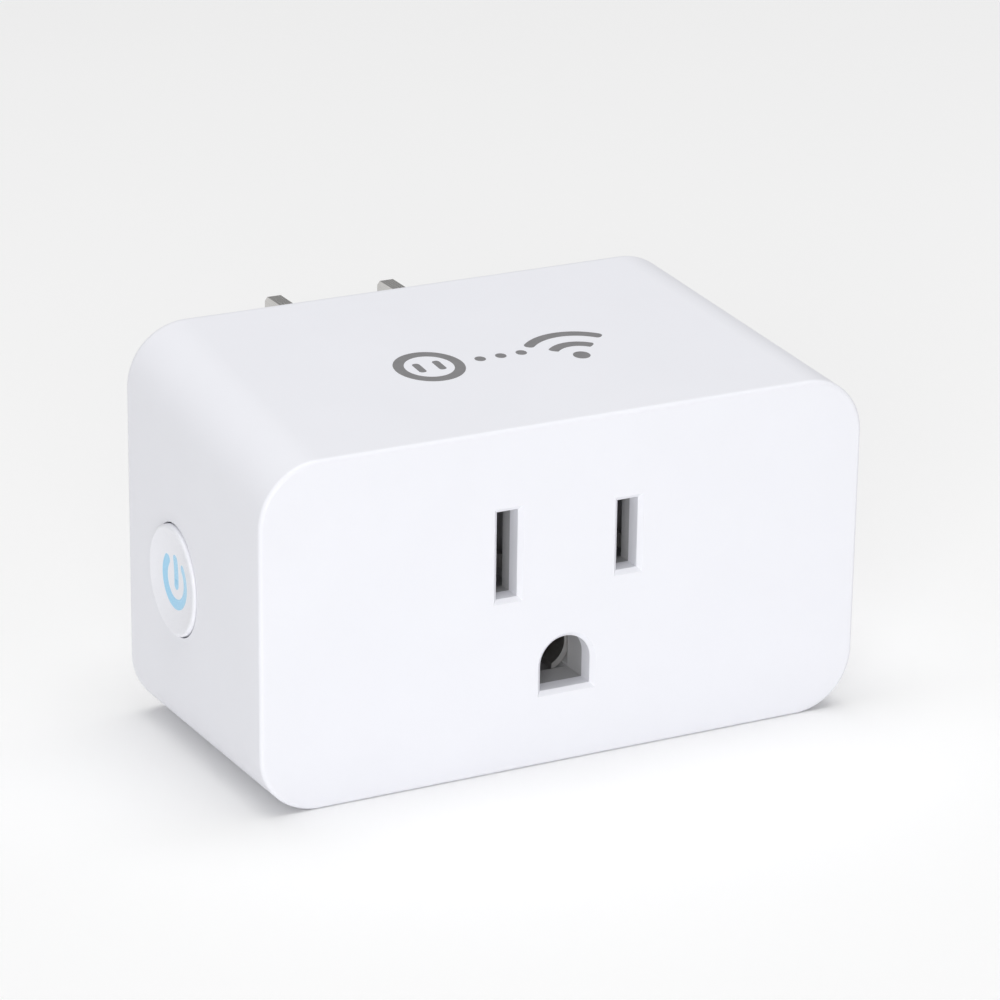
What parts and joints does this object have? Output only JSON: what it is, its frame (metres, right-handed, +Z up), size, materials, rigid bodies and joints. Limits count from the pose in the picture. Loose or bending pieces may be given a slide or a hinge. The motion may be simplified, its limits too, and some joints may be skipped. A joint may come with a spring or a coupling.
{
  "type": "smart plug",
  "caption": "White wall-plug smart switch for a grounded socket: boxy two-part casing, pass-through outlet, side button with lit power symbol, relay and radio board inside.",
  "frame": {"origin": "midway between the two flat blades, on the rear face that meets the wall plate", "axes": "+Y out of the rear face into the wall, +X to the right as the user sees the front, +Z up"},
  "size_m": [0.0632, 0.0567, 0.04],
  "materials": {
    "housing_plastic": "fine satin moulded",
    "cover_plastic": "fine satin moulded",
    "button_plastic": "smooth satin moulded",
    "light_guide": "milky, lit from behind",
    "nickel_plated": "brushed nickel plate",
    "carrier_plastic": "natural moulded",
    "spring_bronze": "rolled sheet",
    "busbar_brass": "rolled sheet",
    "screw_steel": "zinc plated",
    "circuit_board": "solder mask",
    "solder": "bright solder",
    "black_plastic": "moulded",
    "spring_steel": "bright",
    "led_resin": "clear resin",
    "shield_steel": "tinned",
    "chip_resin": "moulded epoxy",
    "copper_trace": "plated copper",
    "relay_plastic": "moulded",
    "relay_iron": "zinc plated",
    "copper_wire": "enamelled wire",
    "capacitor_sleeve": "printed sleeve",
    "film_yellow": "moulded box",
    "varistor_blue": "dipped epoxy",
    "ferrite": "sintered ferrite",
    "resistor_ceramic": "lacquered ceramic",
    "passive_ceramic": "fired ceramic",
    "mark_ink": "pad printed"
  },
  "bodies": {
    "housing": {"front_housing": "housing_plastic", "rear_cover": "cover_plastic", "neutral_blade": "nickel_plated", "line_blade": "nickel_plated", "ground_pin": "nickel_plated", "contact_carrier": "carrier_plastic", "contact_cover": "carrier_plastic", "neutral_contact": "spring_bronze", "line_contact": "spring_bronze", "ground_contact": "spring_bronze", "neutral_busbar": "busbar_brass", "line_busbar": "busbar_brass", "ground_strap": "busbar_brass", "carrier_screws": "screw_steel", "board_screws": "screw_steel", "main_board": "circuit_board", "control_board": "circuit_board", "solder_joints": "solder", "tact_switch_base": "black_plastic", "tact_switch_cover": "spring_steel", "status_lights": "led_resin", "radio_shield": "shield_steel", "radio_chip": "chip_resin", "crystal": "shield_steel", "antenna": "copper_trace", "header_block": "black_plastic", "header_pins": "busbar_brass", "relay_case": "relay_plastic", "relay_base": "black_plastic", "relay_core": "relay_iron", "relay_yoke": "relay_iron", "relay_bobbin": "black_plastic", "relay_coil": "copper_wire", "relay_fixed_contact": "busbar_brass", "relay_pins": "busbar_brass", "bulk_capacitors": "capacitor_sleeve", "film_capacitor": "film_yellow", "surge_varistor": "varistor_blue", "choke_core": "ferrite", "choke_winding": "copper_wire", "fuse_resistor": "resistor_ceramic", "bridge_rectifier": "chip_resin", "power_chip": "chip_resin", "small_passives": "passive_ceramic"},
    "button": {"button_cap": "button_plastic", "button_light_guide": "light_guide"},
    "switch_plunger": {"tact_switch_plunger": "black_plastic", "tact_switch_dome": "spring_steel"},
    "armature": {"relay_armature": "relay_iron", "relay_moving_contact": "spring_bronze"}
  },
  "joints": [
    {"name": "button_press", "type": "slide", "parent": "housing", "child": "button", "axis": [1, 0, 0], "range_m": [0, 0.0003], "stiffness_N_per_m": 1500, "springref_m": -0.0003},
    {"name": "plunger_press", "type": "slide", "parent": "housing", "child": "switch_plunger", "axis": [1, 0, 0], "range_m": [0, 0.0003]},
    {"name": "armature_swing", "type": "hinge", "parent": "housing", "child": "armature", "pos_m": [0.0205, -0.009, -0.0019], "axis": [1, 0, 0], "range_deg": [0, 3], "stiffness_Nm_per_rad": 0.02, "springref_deg": -5.73}
  ],
  "couplings": [
    {"joint": "plunger_press", "follows": "button_press", "ratio": 1}
  ]
}
